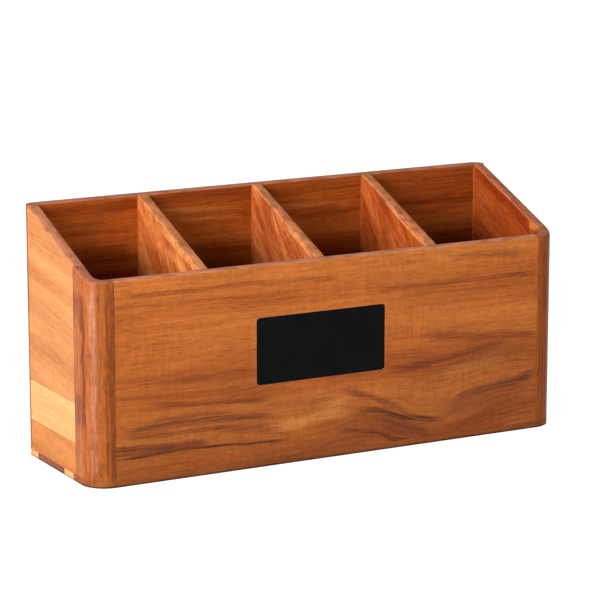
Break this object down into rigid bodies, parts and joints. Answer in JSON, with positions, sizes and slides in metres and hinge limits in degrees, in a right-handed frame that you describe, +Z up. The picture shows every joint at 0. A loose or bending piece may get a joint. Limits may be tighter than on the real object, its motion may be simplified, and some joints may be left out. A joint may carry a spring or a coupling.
{
  "type": "utensil holder",
  "caption": "Wooden countertop utensil holder with upright bays, a sloping rim, round front corner posts and a blank label plate.",
  "frame": {"origin": "on the table, under the middle of the base's outline", "axes": "+X to the right along the front, +Y from the front to the back, +Z up"},
  "size_m": [0.32, 0.097, 0.1542],
  "materials": {
    "front_heartwood": "oiled, satin",
    "post_wood": "oiled, satin",
    "side_wood": "oiled, satin",
    "back_wood": "oiled, satin",
    "divider_wood": "oiled, satin",
    "sapwood": "oiled, satin",
    "dark_heartwood": "oiled, satin",
    "spline_wood": "raw",
    "label_black": "matte, writable",
    "adhesive_film": "tacky film"
  },
  "bodies": {
    "root": {"front_panel": "front_heartwood", "front_post_left": "post_wood", "front_post_right": "post_wood", "left_side_lower_stave": "side_wood", "left_side_upper_stave": "side_wood", "right_side_lower_stave": "side_wood", "right_side_middle_stave": "side_wood", "right_side_upper_stave": "side_wood", "back_lower_stave": "back_wood", "back_middle_stave": "back_wood", "back_upper_stave": "back_wood", "divider_left": "divider_wood", "divider_middle": "divider_wood", "divider_right": "divider_wood", "left_side_pale_stave": "sapwood", "base_pale_stave": "sapwood", "base_back_stave": "sapwood", "base_front_stave": "dark_heartwood", "base_middle_stave": "dark_heartwood", "front_spline_left": "spline_wood", "front_spline_right": "spline_wood", "side_spline_left": "spline_wood", "side_spline_right": "spline_wood", "back_spline_left": "spline_wood", "back_spline_right": "spline_wood", "label_plate": "label_black", "label_adhesive_pad": "adhesive_film"}
  },
  "joints": []
}
